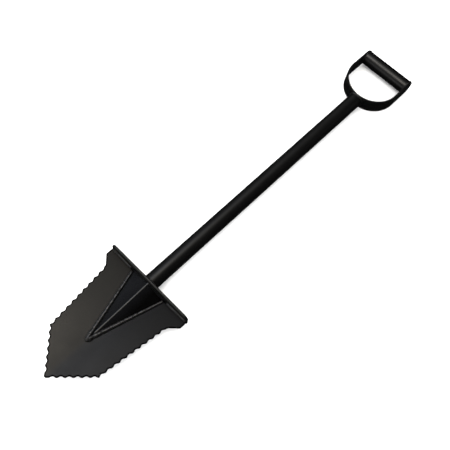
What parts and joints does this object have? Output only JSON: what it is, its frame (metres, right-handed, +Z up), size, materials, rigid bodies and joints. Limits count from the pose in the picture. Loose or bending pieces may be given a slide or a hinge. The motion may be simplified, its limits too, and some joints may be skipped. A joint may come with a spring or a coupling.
{
  "type": "detecting shovel",
  "caption": "All-steel long-handled digging shovel with a pointed serrated blade, a step plate, a pyramid gusset and a welded D-handle.",
  "frame": {"origin": "On the surface that the shovel lies on, under the middle of its bounding box, with the shovel on its back and the hollow side of the blade facing up.", "axes": "+X along the tube from the blade to the D-handle, +Y to the left of +X seen from above, +Z up out of the hollow side of the blade."},
  "size_m": [0.9788, 0.199, 0.0382],
  "materials": {
    "blade_coat": "satin black powder coat",
    "gusset_coat": "satin black powder coat",
    "bar_coat": "satin black powder coat",
    "tube_coat": "satin black powder coat",
    "grip_coat": "satin black powder coat",
    "weld_coat": "satin black powder coat"
  },
  "bodies": {
    "root": {"blade": "blade_coat", "step_plate": "bar_coat", "gusset": "gusset_coat", "shaft_tube": "tube_coat", "handle_strap": "bar_coat", "grip_tube": "grip_coat", "weld_gusset_tip": "weld_coat", "weld_gusset_left": "weld_coat", "weld_gusset_right": "weld_coat", "weld_gusset_end_left": "weld_coat", "weld_gusset_end_right": "weld_coat", "weld_seam_front_left": "weld_coat", "weld_seam_front_right": "weld_coat", "weld_seam_back_left": "weld_coat", "weld_seam_back_right": "weld_coat", "weld_shaft_step": "weld_coat", "weld_shaft_strap": "weld_coat", "weld_grip_left": "weld_coat", "weld_grip_right": "weld_coat"}
  },
  "joints": []
}
